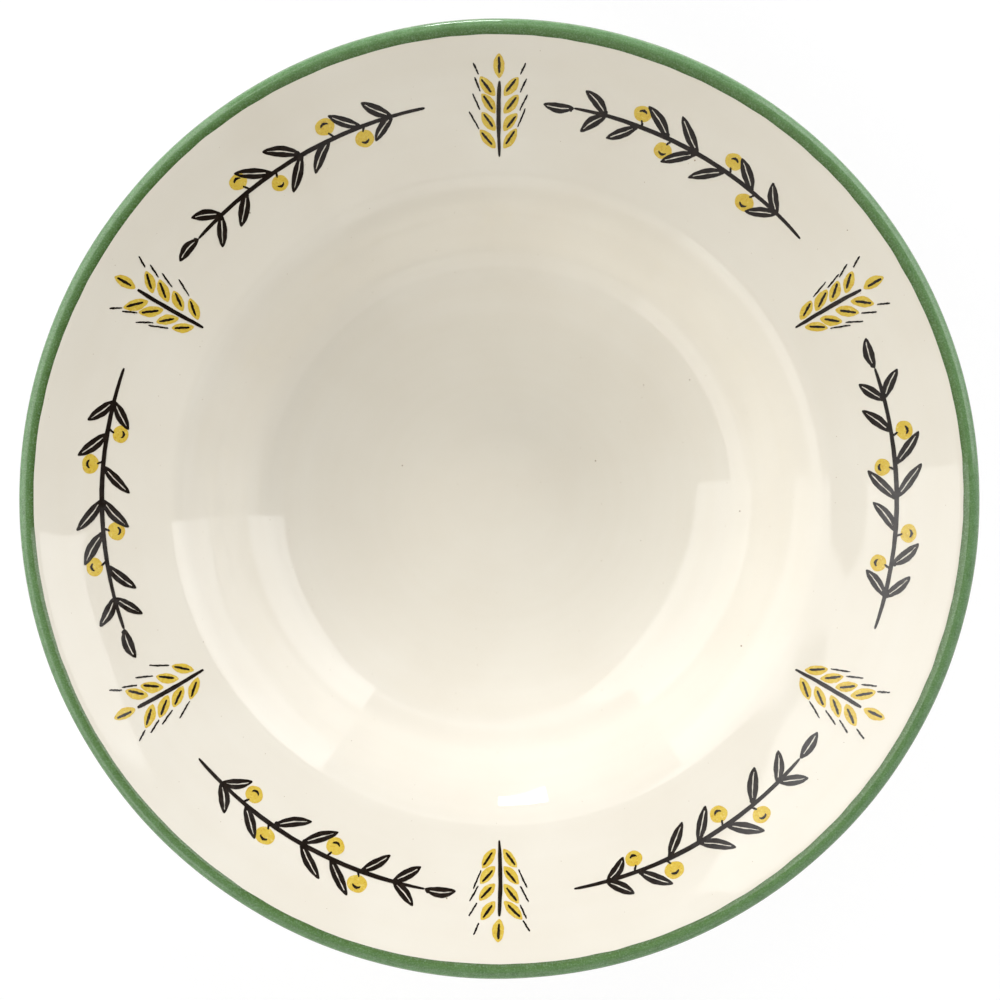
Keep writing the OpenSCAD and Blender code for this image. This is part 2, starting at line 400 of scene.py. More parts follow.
class Outline:
    """The clay's outline from the middle of the floor, round the lip and the foot ring, to the
    middle of the base, by the distance travelled along it."""

    def __init__(self):
        clay_r = BOWL_D / 2 - GLAZE_T
        well_r = WELL_D / 2
        floor_h = BASE_H + FLOOR_T
        middle_r = (well_r + clay_r) / 2
        outer = math.radians(RIM_OUTER_SLOPE)
        middle_rise = (middle_r - well_r) * math.tan(math.radians(RIM_INNER_SLOPE))
        outer_rise = (clay_r - middle_r) * math.tan(outer)
        lip_h = BOWL_H - GLAZE_T + LIP_R * (math.tan(outer) + 1 / math.cos(outer) - 1)
        shoulder_h = lip_h - outer_rise - middle_rise
        floor_rise = (WALL_FOOT_D - FLOOR_D) / 2 * math.tan(math.radians(FLOOR_SLOPE))

        centre = (0, floor_h, 0)
        floor_corner = (FLOOR_D / 2, floor_h, FLOOR_SWEEP_R)
        wall_foot = (WALL_FOOT_D / 2, floor_h + floor_rise, WALL_SWEEP_R)
        shoulder = (well_r, shoulder_h, SOFT_SHOULDER_R)
        rim_middle = (middle_r, shoulder_h + middle_rise, RIM_SWEEP_R)
        band_top = (clay_r - BAND_TOP_W, lip_h - BAND_TOP_W * math.tan(outer), 0)
        lip = (clay_r, lip_h, LIP_R)
        under_lip = (clay_r, lip_h - LIP_T / math.cos(outer), LIP_R)

        under_rim = inset(shoulder, rim_middle, lip, (WALL_T + LIP_T) / 2, RIM_SWEEP_R)
        under_shoulder = inset(wall_foot, shoulder, rim_middle, WALL_T, UNDER_SHOULDER_R)
        under_wall_foot = inset(floor_corner, wall_foot, shoulder, WALL_T, WALL_SWEEP_R + WALL_T)
        under_floor = inset(centre, floor_corner, wall_foot, WALL_T, FLOOR_SWEEP_R + WALL_T)
        band_under = along(under_lip, under_rim, BAND_UNDER_W)

        foot_r = FOOT_D / 2
        foot_inner_r = foot_r - FOOT_W
        lean = math.tan(math.radians(FOOT_LEAN))
        foot_root = meet((foot_r, 0), (foot_r + BASE_H * lean, BASE_H),
                         under_floor, under_wall_foot, FOOT_ROOT_R)
        dry_outer = (foot_r + DRY_H * lean, DRY_H, 0)
        dry_inner = (foot_inner_r - DRY_H * lean, DRY_H, 0)
        base_corner = (foot_inner_r - BASE_SIDE_H * lean, BASE_SIDE_H, FOOT_ROOT_R)
        base_middle = (base_corner[0] / 2, BASE_H, BASE_SWEEP_R)
        base_centre = (0, BASE_H, 0)

        stretches = {
            "floor_centre": [centre, floor_corner, wall_foot, shoulder, rim_middle, band_top],
            "band_top": [band_top, lip, under_lip, band_under],
            "band_under": [band_under, under_rim, under_shoulder, under_wall_foot, foot_root,
                           dry_outer],
            "dry_outer": [dry_outer, (foot_r, 0, FOOT_EDGE_R), (foot_inner_r, 0, FOOT_EDGE_R),
                          dry_inner],
            "dry_inner": [dry_inner, base_corner, base_middle, base_centre],
        }
        points = []
        starts = {}
        for name, corners in stretches.items():
            starts[name] = len(points)
            points += rounded(corners)
        points = np.array(points)
        steps = np.hypot(np.diff(points[:, 0]), np.diff(points[:, 1]))
        self.s = np.concatenate([[0], np.cumsum(steps)])
        self.r = points[:, 0]
        self.z = points[:, 1]
        self.h = np.unwrap(points[:, 2])
        self.mark = {name: self.s[i] for name, i in starts.items()}
        self.mark["base_centre"] = self.s[-1]
        self.well_r = well_r
        self.print_r = (well_r + SHOULDER_R / 2 + clay_r - BAND_TOP_W) / 2

    def at(self, s, turn, lift):
        """Places at distances s along the outline and angles turn round the axis, at heights
        lift over the clay."""
        r = np.interp(s, self.s, self.r)
        z = np.interp(s, self.s, self.z)
        h = np.interp(s, self.s, self.h)
        off = lift + waviness(r * np.cos(turn), r * np.sin(turn), z)
        reach = r - off * np.sin(h)
        return np.stack([reach * np.cos(turn), reach * np.sin(turn), z + off * np.cos(h)], -1)

    def on_rim(self, x, y, lift):
        """Places on the top of the rim at plan positions x and y."""
        rim = (self.r > self.well_r) & (self.s <= self.mark["band_top"])
        s = np.interp(np.hypot(x, y), self.r[rim], self.s[rim])
        return self.at(s, np.arctan2(y, x), lift)


def make_waves():
    """Directions and phases of the slow waves that a fired surface has."""
    draw = random.Random(WAVE_SEED)
    waves = []
    for _ in range(WAVE_COUNT):
        number = 2 * math.pi / draw.uniform(*WAVE_LENGTHS)
        azimuth = draw.uniform(0, 2 * math.pi)
        rise = draw.uniform(-1, 1)
        flat = math.sqrt(1 - rise * rise)
        waves.append((number * flat * math.cos(azimuth), number * flat * math.sin(azimuth),
                      number * rise, draw.uniform(0, 2 * math.pi)))
    return waves


WAVES = make_waves()


def waviness(x, y, z):
    total = 0
    for kx, ky, kz, phase in WAVES:
        total = total + np.sin(kx * x + ky * y + kz * z + phase)
    return WAVE_RISE * total / math.sqrt(WAVE_COUNT)


OUTLINE = Outline()
ANGLES = np.arange(TURNS) * 2 * math.pi / TURNS


def new_object(name, points, faces):
    mesh = bpy.data.meshes.new(name)
    mesh.from_pydata(points, [], faces)
    mesh.update()
    mesh.polygons.foreach_set("use_smooth", [True] * len(mesh.polygons))
    mesh.set_sharp_from_angle(angle=math.radians(SHARP_TURN))
    piece = bpy.data.objects.new(name, mesh)
    bpy.context.scene.collection.objects.link(piece)
    return piece


def swept(name, rows, closed):
    """Mesh of rows of points round the axis. A row of one point is a pole. A closed sweep joins
    its last row to its first."""
    points = []
    starts = []
    for row in rows:
        starts.append(len(points))
        points += row.tolist()
    faces = []
    count = len(rows)
    for i in range(count if closed else count - 1):
        n = (i + 1) % count
        a, b = starts[i], starts[n]
        lone_a, lone_b = len(rows[i]) == 1, len(rows[n]) == 1
        if lone_a and lone_b:
            continue
        for j in range(TURNS):
            k = (j + 1) % TURNS
            if lone_a:
                faces.append((a, b + j, b + k))
            elif lone_b:
                faces.append((a + j, b, a + k))
            else:
                faces.append((a + j, b + j, b + k, a + k))
    return new_object(name, points, faces)


def ring(s, lift):
    """One row of points. s and lift may differ from angle to angle."""
    row = OUTLINE.at(s + 0 * ANGLES, ANGLES, lift + 0 * ANGLES)
    on_axis = np.hypot(row[:, 0], row[:, 1]).max() < AT_AXIS
    return row[:1] if on_axis else row


def shares_of(first, last):
    """The stretch from one mark to the next, as shares of its length at the outline's own
    points and wherever these lie far apart."""
    s = OUTLINE.s[(OUTLINE.s >= first) & (OUTLINE.s <= last)]
    fine = [s[0]]
    for step_to in s[1:]:
        parts = max(1, math.ceil((step_to - fine[-1]) / CHORD_L))
        if step_to - fine[-1] > LEAST_STEP:
            fine += np.linspace(fine[-1], step_to, parts + 1)[1:].tolist()
    fine = np.array(fine)
    return (fine - first) / (last - first)


def thinned(distance, length, least):
    """Share of the full thickness that a coat has near its edge."""
    t = min(1, distance / length)
    return least + (1 - least) * math.sqrt(1 - (1 - t) ** 2)


def shell(name, first, last, shares, first_edge, last_edge):
    """Closed coat of glaze from one mark to another. The marks may wander round the bowl. Each
    edge is rounded over a length, down to a share of the thickness."""
    length = float(np.mean(last - first))
    lifts = [GLAZE_T * min(thinned(length * t, *first_edge), thinned(length * (1 - t), *last_edge))
             for t in shares]
    top = [ring(first + (last - first) * t, lift) for t, lift in zip(shares, lifts)]
    bottom = [ring(first + (last - first) * t, 0) for t in shares]
    return swept(name, top + bottom[::-1], closed=True)


def wander(seed, numbers, count):
    """Smooth closed curve round the bowl, of about unit height."""
    draw = random.Random(seed)
    total = 0 * ANGLES
    for _ in range(count):
        number = draw.randint(*numbers)
        total = total + np.sin(number * ANGLES + draw.uniform(0, 2 * math.pi))
    return total * math.sqrt(2 / count)


def band_top_mark():
    shift = BAND_SHIFT * np.cos(ANGLES - math.radians(BAND_SHIFT_TURN))
    slow = BAND_WANDER * wander(BAND_SEED, *TOP_WANDER)
    quick = BAND_RIPPLE * wander(BAND_SEED + 1, *RIPPLES)
    return OUTLINE.mark["band_top"] - shift - slow - quick


def band_under_mark():
    slow = BAND_WANDER * wander(BAND_SEED + 2, *UNDER_WANDER)
    quick = BAND_RIPPLE * wander(BAND_SEED + 3, *RIPPLES)
    return OUTLINE.mark["band_under"] - slow - quick


class Print:
    """Shapes of one colour, each a thin closed slab on the rim. Plan places are given along the
    middle of the print, x round the bowl and y towards the well."""

    def __init__(self, draw, rise):
        self.draw = draw
        self.rise = rise
        self.points = []
        self.faces = []
        self.count = 0

    def slab(self, x, y):
        """Slab over a grid of plan places."""
        radius = OUTLINE.print_r - y
        turn = x / OUTLINE.print_r
        plan_x, plan_y = radius * np.cos(turn), radius * np.sin(turn)
        rise = self.rise + PRINT_STEP * (self.count % PRINT_LAYERS)
        rows, columns = plan_x.shape
        top = OUTLINE.on_rim(plan_x, plan_y, GLAZE_T + rise).reshape(-1, 3)
        bottom = OUTLINE.on_rim(plan_x, plan_y, GLAZE_T - PRINT_SINK).reshape(-1, 3)
        first = len(self.points)
        under = first + rows * columns
        self.points += top.tolist() + bottom.tolist()
        for i in range(rows - 1):
            for j in range(columns - 1):
                a = i * columns + j
                quad = (a, a + 1, a + columns + 1, a + columns)
                self.faces.append(tuple(first + k for k in quad[::-1]))
                self.faces.append(tuple(under + k for k in quad))
        border = ([i * columns for i in range(rows)]
                  + [(rows - 1) * columns + j for j in range(1, columns)]
                  + [i * columns + columns - 1 for i in range(rows - 2, -1, -1)]
                  + [j for j in range(columns - 2, 0, -1)])
        for a, b in zip(border, border[1:] + border[:1]):
            self.faces.append((first + a, under + a, under + b, first + b))
        self.count += 1

    def unsteady(self, t):
        """Sideways wander of an edge that is drawn by hand."""
        sway = 0 * t
        for waves in HAND_WAVES:
            sway = sway + np.sin(2 * math.pi * waves * t + self.draw.uniform(0, 2 * math.pi))
        return HAND_EDGE * sway / 2

    def stroke(self, x, y, lean, length, width, bend=0, low=-1, high=1, full=BRUSH_FULL):
        """Brush stroke from x, y. Its sides are shares of the half width from low to high, and
        a smaller full gives blunter ends."""
        t = 0.5 - 0.5 * np.cos(np.linspace(0, math.pi, STROKE_STEPS))
        swell = np.maximum(np.sin(math.pi * t), SMALL_SHARE) ** full
        half = width / 2 * swell + width * STROKE_TIP_SHARE
        left = high * half + self.unsteady(t)
        right = low * half + self.unsteady(t)
        middle = bend * np.sin(math.pi * t)
        share = np.linspace(0, 1, STROKE_ACROSS + 1)
        along_it = np.repeat((length * t)[:, None], STROKE_ACROSS + 1, 1)
        across = middle[:, None] + right[:, None] + (left - right)[:, None] * share
        cos, sin = math.cos(lean), math.sin(lean)
        self.slab(x + along_it * cos - across * sin, y + along_it * sin + across * cos)

    def line(self, x, y, lean, length, width, bend=0):
        """Thin stroke of even width with round ends."""
        self.stroke(x, y, lean, length, width, bend, full=LINE_FULL)

    def oval(self, x, y, size, stretch):
        """Round blot, a little out of true, from a square grid that is bulged to a disc."""
        share = np.linspace(-1, 1, BLOT_STEPS)
        u, v = np.meshgrid(share, share, indexing="ij")
        round_x = u * np.sqrt(1 - v * v / 2)
        round_y = v * np.sqrt(1 - u * u / 2)
        turn = np.arctan2(round_y, round_x)
        uneven = 1
        for lobes in BLOT_LOBES:
            phase = self.draw.uniform(0, 2 * math.pi)
            uneven = uneven + BLOT_EDGE_SHARE * np.cos(lobes * turn + phase)
        self.slab(x + size / 2 * stretch * round_x * uneven, y + size / 2 * round_y * uneven)

    def finish(self, name):
        return new_object(name, self.points, self.faces)


def vary(draw, size):
    return size * (1 + draw.uniform(-HAND_SIZE, HAND_SIZE))


def lean_of(draw, degrees):
    return math.radians(degrees + draw.uniform(-HAND_LEAN, HAND_LEAN))


def slip(draw):
    """How far the hand misses a place."""
    return draw.uniform(-1, 1) * HAND_SHIFT


def print_leaf(black, x, side, share):
    """Leaf in two halves with the vein left open between them."""
    draw = black.draw
    lean = lean_of(draw, side * LEAF_LEAN)
    length = vary(draw, LEAF_L * share)
    width = vary(draw, LEAF_W)
    bend = draw.uniform(-LEAF_BEND, LEAF_BEND)
    gap = VEIN_GAP / width
    black.stroke(x, 0, lean, length, width, bend, gap, 1)
    black.stroke(x, 0, lean, length, width, bend, -1, -gap)
    base_share, tip_share = VEIN_SHARES
    black.stroke(x, 0, lean, length * base_share, width * base_share * LEAF_END_SPREAD, bend)
    tip = length * tip_share
    black.stroke(x + tip * math.cos(lean), tip * math.sin(lean), lean, length - tip,
                 width * (1 - tip_share) * LEAF_END_SPREAD)


def print_branch(black, ochre, middle):
    """Olive branch that runs round the rim, with its middle at the distance middle along it."""
    draw = black.draw
    pairs = len(LEAF_L_SHARES)
    length = (pairs + 1) * LEAF_PITCH
    black.stroke(middle - length / 2, 0, 0, length, LINE_W, slip(draw), full=STEM_FULL)
    off = (LINE_W + OLIVE_D) / 2 + LINE_GAP
    for i, share in enumerate(LEAF_L_SHARES):
        for side, olives in ((-1, OUTER_OLIVES), (1, INNER_OLIVES)):
            x = middle + (i - (pairs - 1) / 2) * LEAF_PITCH + slip(draw)
            if i in olives:
                size = vary(draw, OLIVE_D)
                ochre.oval(x, side * off, size, OLIVE_STRETCH)
                back, out, mark_l, bend = [size * share for share in OLIVE_MARK_SHARES]
                black.line(x - back, side * (off + out), lean_of(draw, 0), mark_l, RIB_W,
                           bend=side * bend)
                black.line(x - LINE_W, 0, lean_of(draw, side * OLIVE_STALK_LEAN),
                           off - size * OLIVE_STALK_SHARE, LINE_W / 2)
            else:
                print_leaf(black, x, side, share)
    x = middle + (pairs + 1) / 2 * LEAF_PITCH
    print_leaf(black, x, 0, LEAF_L_SHARES[0])


def print_grain(black, ochre, x, y, lean):
    draw = ochre.draw
    length = vary(draw, GRAIN_L)
    ochre.stroke(x, y, lean, length, vary(draw, GRAIN_W), bend=slip(draw))
    start = length * RIB_SHARES[0]
    shift = slip(draw)
    black.line(x + start * math.cos(lean) - shift * math.sin(lean),
               y + start * math.sin(lean) + shift * math.cos(lean), lean,
               length * (RIB_SHARES[1] - RIB_SHARES[0]), RIB_W)


def print_ear(black, ochre, middle):
    """Ear of wheat across the rim, with its stalk towards the well and its tip at the band."""
    draw = ochre.draw
    length = GRAIN_PAIRS * GRAIN_PITCH + GRAIN_L
    tip = -math.pi / 2
    for i in range(GRAIN_PAIRS):
        for side in (-1, 1):
            y = length / 2 - i * GRAIN_PITCH
            x = middle + side * (LINE_W / 2 + LINE_GAP)
            lean = tip + side * abs(lean_of(draw, GRAIN_LEAN))
            print_grain(black, ochre, x, y, lean)
            reach = GRAIN_L + LINE_GAP
            black.line(x + reach * math.cos(lean), y + reach * math.sin(lean),
                       lean - side * math.radians(AWN_LEAN),
                       AWN_L * (1 - i * AWN_SHORTER_SHARE), AWN_W)
    print_grain(black, ochre, middle, GRAIN_L - length / 2, lean_of(draw, 0) + tip)
    stalk = GRAIN_PAIRS * GRAIN_PITCH + GRAIN_PITCH / 2 - LINE_GAP
    black.line(middle, length / 2 + GRAIN_PITCH / 2, tip, stalk, LINE_W, bend=HAND_SHIFT)


def dress(piece, node, material):
    """Give a piece its material and its place among the CAD nodes."""
    piece.data.materials.append(material)
    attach(piece, "root")
    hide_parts(node)


def make_print():
    black = Print(random.Random(HAND_SEED), BLACK_RISE)
    ochre = Print(random.Random(HAND_SEED + 1), OCHRE_RISE)
    repeat = 2 * math.pi * OUTLINE.print_r / REPEATS
    for k in range(REPEATS):
        print_branch(black, ochre, k * repeat)
        print_ear(black, ochre, (k + 0.5) * repeat)
    dress(black.finish("print_in_black"), "black_print", black_enamel())
    dress(ochre.finish("print_in_ochre"), "ochre_print", ochre_enamel())


class Look:
    """Node material of one piece, built on its Principled shader."""

    def __init__(self, name):
        self.material = bpy.data.materials.new(name)
        self.material.use_nodes = True
        self.nodes = self.material.node_tree.nodes
        self.links = self.material.node_tree.links
        self.shader = self.nodes["Principled BSDF"]
        self.place = self.add("TexCoord").outputs["Object"]

    def put(self, socket, value):
        """Link a socket to a socket, or set it."""
        if isinstance(value, bpy.types.NodeSocket):
            self.links.new(value, socket)
        elif isinstance(value, tuple) and len(value) == 3 and socket.type == "RGBA":
            socket.default_value = (*value, 1)
        else:
            socket.default_value = value

    def add(self, kind, **settings):
        node = self.nodes.new("ShaderNode" + kind)
        for name, value in settings.items():
            setattr(node, name, value)
        return node

    def noise(self, size, detail=2):
        """Noise from 0 to 1 whose lumps are about size across."""
        node = self.add("TexNoise")
        self.put(node.inputs["Vector"], self.place)
        self.put(node.inputs["Scale"], 1 / size)
        self.put(node.inputs["Detail"], detail)
        return node.outputs[0]

    def radius(self):
        """Distance from the axis."""
        flat = self.add("VectorMath", operation="MULTIPLY")
        self.put(flat.inputs[0], self.place)
        self.put(flat.inputs[1], (1, 1, 0))
        length = self.add("VectorMath", operation="LENGTH")
        self.put(length.inputs[0], flat.outputs["Vector"])
        return length.outputs["Value"]

    def rings(self, size, detail=2):
        """Noise by the distance from the axis alone, as a turned surface has."""
        node = self.add("TexNoise", noise_dimensions="1D")
        self.put(node.inputs["W"], self.radius())
        self.put(node.inputs["Scale"], 1 / size)
        self.put(node.inputs["Detail"], detail)
        return node.outputs[0]

    def between(self, value, start, end, low=0, high=1):
        """A value from start to end, spread over low to high and held there."""
        node = self.add("MapRange")
        for name, given in (("Value", value), ("From Min", start), ("From Max", end),
                            ("To Min", low), ("To Max", high)):
            self.put(node.inputs[name], given)
        return node.outputs[0]

    def combine(self, a, b, operation="ADD"):
        node = self.add("Math", operation=operation)
        self.put(node.inputs[0], a)
        self.put(node.inputs[1], b)
        return node.outputs[0]

    def blend(self, share, a, b):
        """Colour a with a share of colour b. The colours of a Mix node are its inputs 6 and 7
        and its output 2."""
        node = self.add("Mix", data_type="RGBA")
        self.put(node.inputs[0], share)
        self.put(node.inputs[6], a)
        self.put(node.inputs[7], b)
        return node.outputs[2]

    def specks(self, pitch, size, share):
        """Mask of small round specks, one to every pitch square but only a share of them."""
        node = self.add("TexVoronoi", voronoi_dimensions="2D")
        self.put(node.inputs["Vector"], self.place)
        self.put(node.inputs["Scale"], 1 / pitch)
        split = self.add("SeparateColor")
        self.put(split.inputs[0], node.outputs["Color"])
        kept = self.between(split.outputs["Red"], 1 - share, 1 - share * (1 - SPECK_FADE))
        largest = size / pitch
        reach = self.between(split.outputs["Green"], 0, 1, largest * SPECK_LEAST, largest)
        inner = self.combine(reach, SPECK_CORE, "MULTIPLY")
        spot = self.add("MapRange")
        self.put(spot.inputs["Value"], node.outputs["Distance"])
        self.put(spot.inputs["From Min"], reach)
        self.put(spot.inputs["From Max"], inner)
        return self.combine(spot.outputs[0], kept, "MULTIPLY")

    def patch(self, colour, tone, patches):
        """Colour with patches of another tone."""
        size, detail, start, full, most = patches
        return self.blend(self.between(self.noise(size, detail), start, full, 0, most), colour,
                          tone)

    def sheen(self, size, least, most):
        """Roughness that changes softly from place to place."""
        return self.between(self.noise(size), *SOFT, least, most)

    def finish(self, colour, roughness, height, depth, ior):
        """Set the shader. The height from 0 to 1 stands for a relief of the given depth."""
        self.put(self.shader.inputs["Base Color"], colour)
        self.put(self.shader.inputs["Roughness"], roughness)
        self.put(self.shader.inputs["IOR"], ior)
        bump = self.add("Bump")
        self.put(bump.inputs["Strength"], 1)
        self.put(bump.inputs["Distance"], depth)
        self.put(bump.inputs["Height"], height)
        self.links.new(bump.outputs[0], self.shader.inputs["Normal"])
        return self.material


def ivory_glaze():
    """Warm ivory glaze with faint clouds, turning rings, a few dark specks and orange peel."""
    look = Look("fired_ivory_glaze")
    colour = look.patch(IVORY, IVORY_PALE, IVORY_CLOUDS)
    rings = look.between(look.rings(*IVORY_RINGS), *SOFT, 0, IVORY_RING_SHARE)
    colour = look.blend(rings, colour, IVORY_RING)
    colour = look.blend(look.specks(*IVORY_SPECKS), colour, IVORY_SPECK)
    colour = look.blend(look.specks(*IVORY_FINE_SPECKS), colour, IVORY_FINE_SPECK)
    turning = look.combine(look.rings(IVORY_TURNING_L), IVORY_TURNING_SHARE, "MULTIPLY")
    peel = look.combine(look.noise(*IVORY_PEEL), turning)
    return look.finish(colour, look.sheen(*IVORY_SHEEN), peel, IVORY_DEPTH, IVORY_IOR)


def green_glaze():
    """Mottled green glaze, deeper at its edges and pale where it breaks over the lip, paler still
    there from a painted highlight.
    """
    look = Look("fired_green_glaze")
    across = look.add("Attribute", attribute_name="across").outputs["Fac"]
    sway = look.between(look.noise(GREEN_SWAY_L), 0, 1, -GREEN_SWAY, GREEN_SWAY)
    across = look.combine(across, sway)
    colour = look.blend(look.between(across, *GREEN_EDGE), GREEN_AT_EDGE, GREEN_NEAR_EDGE)
    colour = look.blend(look.between(across, *GREEN_FULL), colour, GREEN)
    # Paler green over the lip: glaze that breaks thin, plus a painted highlight
    break_and_highlight = look.between(across, *GREEN_BREAK_AND_HIGHLIGHT, 0, GREEN_BREAK_HIGHLIGHT_SHARE)
    colour = look.blend(break_and_highlight, colour, GREEN_THIN_AND_HIGHLIGHT)
    colour = look.blend(look.between(across, *GREEN_UNDER), colour, GREEN_BELOW)
    colour = look.patch(colour, GREEN_POOL, GREEN_POOLS)
    colour = look.patch(colour, GREEN_PALE_FLECK, GREEN_PALE_FLECKS)
    colour = look.patch(colour, GREEN_DARK_FLECK, GREEN_DARK_FLECKS)
    relief = look.noise(*GREEN_RELIEF)
    return look.finish(colour, look.sheen(*GREEN_SHEEN), relief, GREEN_DEPTH, GREEN_IOR)


def biscuit():
    """Bare stoneware clay, pale and gritty, with darker grains and specks."""
    look = Look("bare_biscuit")
    colour = look.blend(look.noise(*BISCUIT_CLOUDS), BISCUIT, BISCUIT_PALE)
    colour = look.patch(colour, BISCUIT_GRAIN, BISCUIT_GRIT)
    colour = look.blend(look.specks(*BISCUIT_SPECKS), colour, BISCUIT_SPECK)
    relief = look.noise(*BISCUIT_RELIEF)
    return look.finish(colour, look.sheen(*BISCUIT_SHEEN), relief, BISCUIT_DEPTH, BISCUIT_IOR)


def black_enamel():
    """Dense warm black of the print, thinner in places."""
    look = Look("fired_black_enamel")
    colour = look.patch(BLACK, BLACK_THIN, BLACK_THINNED)
    colour = look.blend(look.specks(*BLACK_SPECKS), colour, BLACK_SPECK)
    relief = look.noise(*BLACK_RELIEF)
    return look.finish(colour, look.sheen(*ENAMEL_SHEEN), relief, ENAMEL_DEPTH, ENAMEL_IOR)


def ochre_enamel():
    """Golden yellow of the print, stippled with a redder and a paler tone."""
    look = Look("fired_ochre_enamel")
    colour = look.blend(look.noise(*OCHRE_CLOUDS), OCHRE, OCHRE_YELLOW)
    colour = look.patch(colour, OCHRE_RED, OCHRE_RED_STIPPLE)
    colour = look.patch(colour, OCHRE_PALE, OCHRE_PALE_STIPPLE)
    relief = look.noise(*OCHRE_RELIEF)
    return look.finish(colour, look.sheen(*ENAMEL_SHEEN), relief, ENAMEL_DEPTH, ENAMEL_IOR)


def add_across(band, shares):
    """Note on every point of the band how far across it lies."""
    spread = band.data.attributes.new("across", "FLOAT", "POINT")
    rows = np.concatenate([shares, shares[::-1]])
    spread.data.foreach_set("value", np.repeat(rows, TURNS).astype(np.float32))


def make_coats():
    band_top = band_top_mark()
    band_under = band_under_mark()
    m = OUTLINE.mark
    ivory = ivory_glaze()
    inside = shell("ivory_inside", m["floor_centre"], band_top,
                   shares_of(m["floor_centre"], m["band_top"]), WHOLE_EDGE, SEAM_EDGE)
    band = shell("green_band", band_top, band_under, shares_of(m["band_top"], m["band_under"]),
                 SEAM_EDGE, SEAM_EDGE)
    outside = shell("ivory_outside", band_under, m["dry_outer"],
                    shares_of(m["band_under"], m["dry_outer"]), SEAM_EDGE, DRY_EDGE)
    base = shell("ivory_base", m["dry_inner"], m["base_centre"],
                 shares_of(m["dry_inner"], m["base_centre"]), DRY_EDGE, WHOLE_EDGE)
    add_across(band, shares_of(m["band_top"], m["band_under"]))
    clay_shares = shares_of(m["floor_centre"], m["base_centre"])
    clay = swept("fired_clay", [ring(m["base_centre"] * t, 0) for t in clay_shares], closed=False)
    dress(inside, "inside_glaze", ivory)
    dress(band, "rim_band", green_glaze())
    dress(outside, "outside_glaze", ivory)
    dress(base, "base_glaze", ivory)
    dress(clay, "clay_body", biscuit())


def make_camera():
    data = bpy.data.cameras.new("camera")
    data.lens = CAMERA_LENS
    data.sensor_width = CAMERA_SENSOR
    data.shift_x, data.shift_y = CAMERA_SHIFT
    camera = bpy.data.objects.new("camera", data)
    camera.location = (0, 0, CAMERA_H)
    bpy.context.scene.collection.objects.link(camera)
    bpy.context.scene.camera = camera


def tent_point(radius, tilt, azimuth):
    tilt, azimuth = math.radians(tilt), math.radians(azimuth)
    return (radius * math.sin(tilt) * math.cos(azimuth),
            radius * math.sin(tilt) * math.sin(azimuth), radius * math.cos(tilt))


def make_wall(name, radius, top, bottom, span, light, top_span=None, fill=None):
    """Lit cloth of the tent between two tilts. The top may be an edge whose tilt changes with
    the azimuth, and it may span other azimuths than the bottom. A fill has a colour and only
    lights, and the others are only mirrored."""
    top_span = top_span or span
    points = []
    for i in range(WALL_DOWN + 1):
        down = i / WALL_DOWN
        for j in range(WALL_ACROSS + 1):
            over = j / WALL_ACROSS
            high = top_span[0] + (top_span[1] - top_span[0]) * over
            low = span[0] + (span[1] - span[0]) * over
            edge = top if isinstance(top, (int, float)) else np.interp(high, *zip(*top))
            points.append(tent_point(radius, edge + (bottom - edge) * down,
                                     high + (low - high) * down))
    row = WALL_ACROSS + 1
    faces = [(i * row + j, (i + 1) * row + j, (i + 1) * row + j + 1, i * row + j + 1)
             for i in range(WALL_DOWN) for j in range(WALL_ACROSS)]
    mesh = bpy.data.meshes.new(name)
    mesh.from_pydata(points, [], faces)
    wall = bpy.data.objects.new(name, mesh)
    bpy.context.scene.collection.objects.link(wall)
    material = bpy.data.materials.new(name)
    material.use_nodes = True
    nodes = material.node_tree.nodes
    nodes.remove(nodes["Principled BSDF"])
    glow = nodes.new("ShaderNodeEmission")
    glow.inputs["Strength"].default_value = light
    glow.inputs["Color"].default_value = (*(fill or WHITE), 1)
    material.node_tree.links.new(glow.outputs[0], nodes["Material Output"].inputs["Surface"])
    mesh.materials.append(material)
    wall.visible_camera = False
    wall.visible_diffuse = bool(fill)
    wall.visible_glossy = not fill
    wall.visible_shadow = False


def make_left_walls():
    make_wall("left_top", TENT_R, LEFT_EDGE, UPPER_TILT, LEFT_SPAN, light=2.2,
              top_span=LEFT_TOP_SPAN)
    make_wall("left_upper", TENT_R, UPPER_TILT, MIDDLE_TILT, LEFT_SPAN, light=2.4)
    make_wall("left_lower", TENT_R, MIDDLE_TILT, FOOT_TILT, LEFT_SPAN, light=2.1)


def make_right_walls():
    make_wall("right_top", RIGHT_R, RIGHT_EDGE, RIGHT_UPPER_TILT, RIGHT_SPAN, light=2.3)
    make_wall("right_upper", RIGHT_R, RIGHT_UPPER_TILT, MIDDLE_TILT, RIGHT_SPAN, light=2.9)
    make_wall("right_middle", RIGHT_R, MIDDLE_TILT, LOWER_TILT, RIGHT_SPAN, light=2.5)
    make_wall("right_lower", RIGHT_R, LOWER_TILT, FOOT_TILT, RIGHT_SPAN, light=2.1)


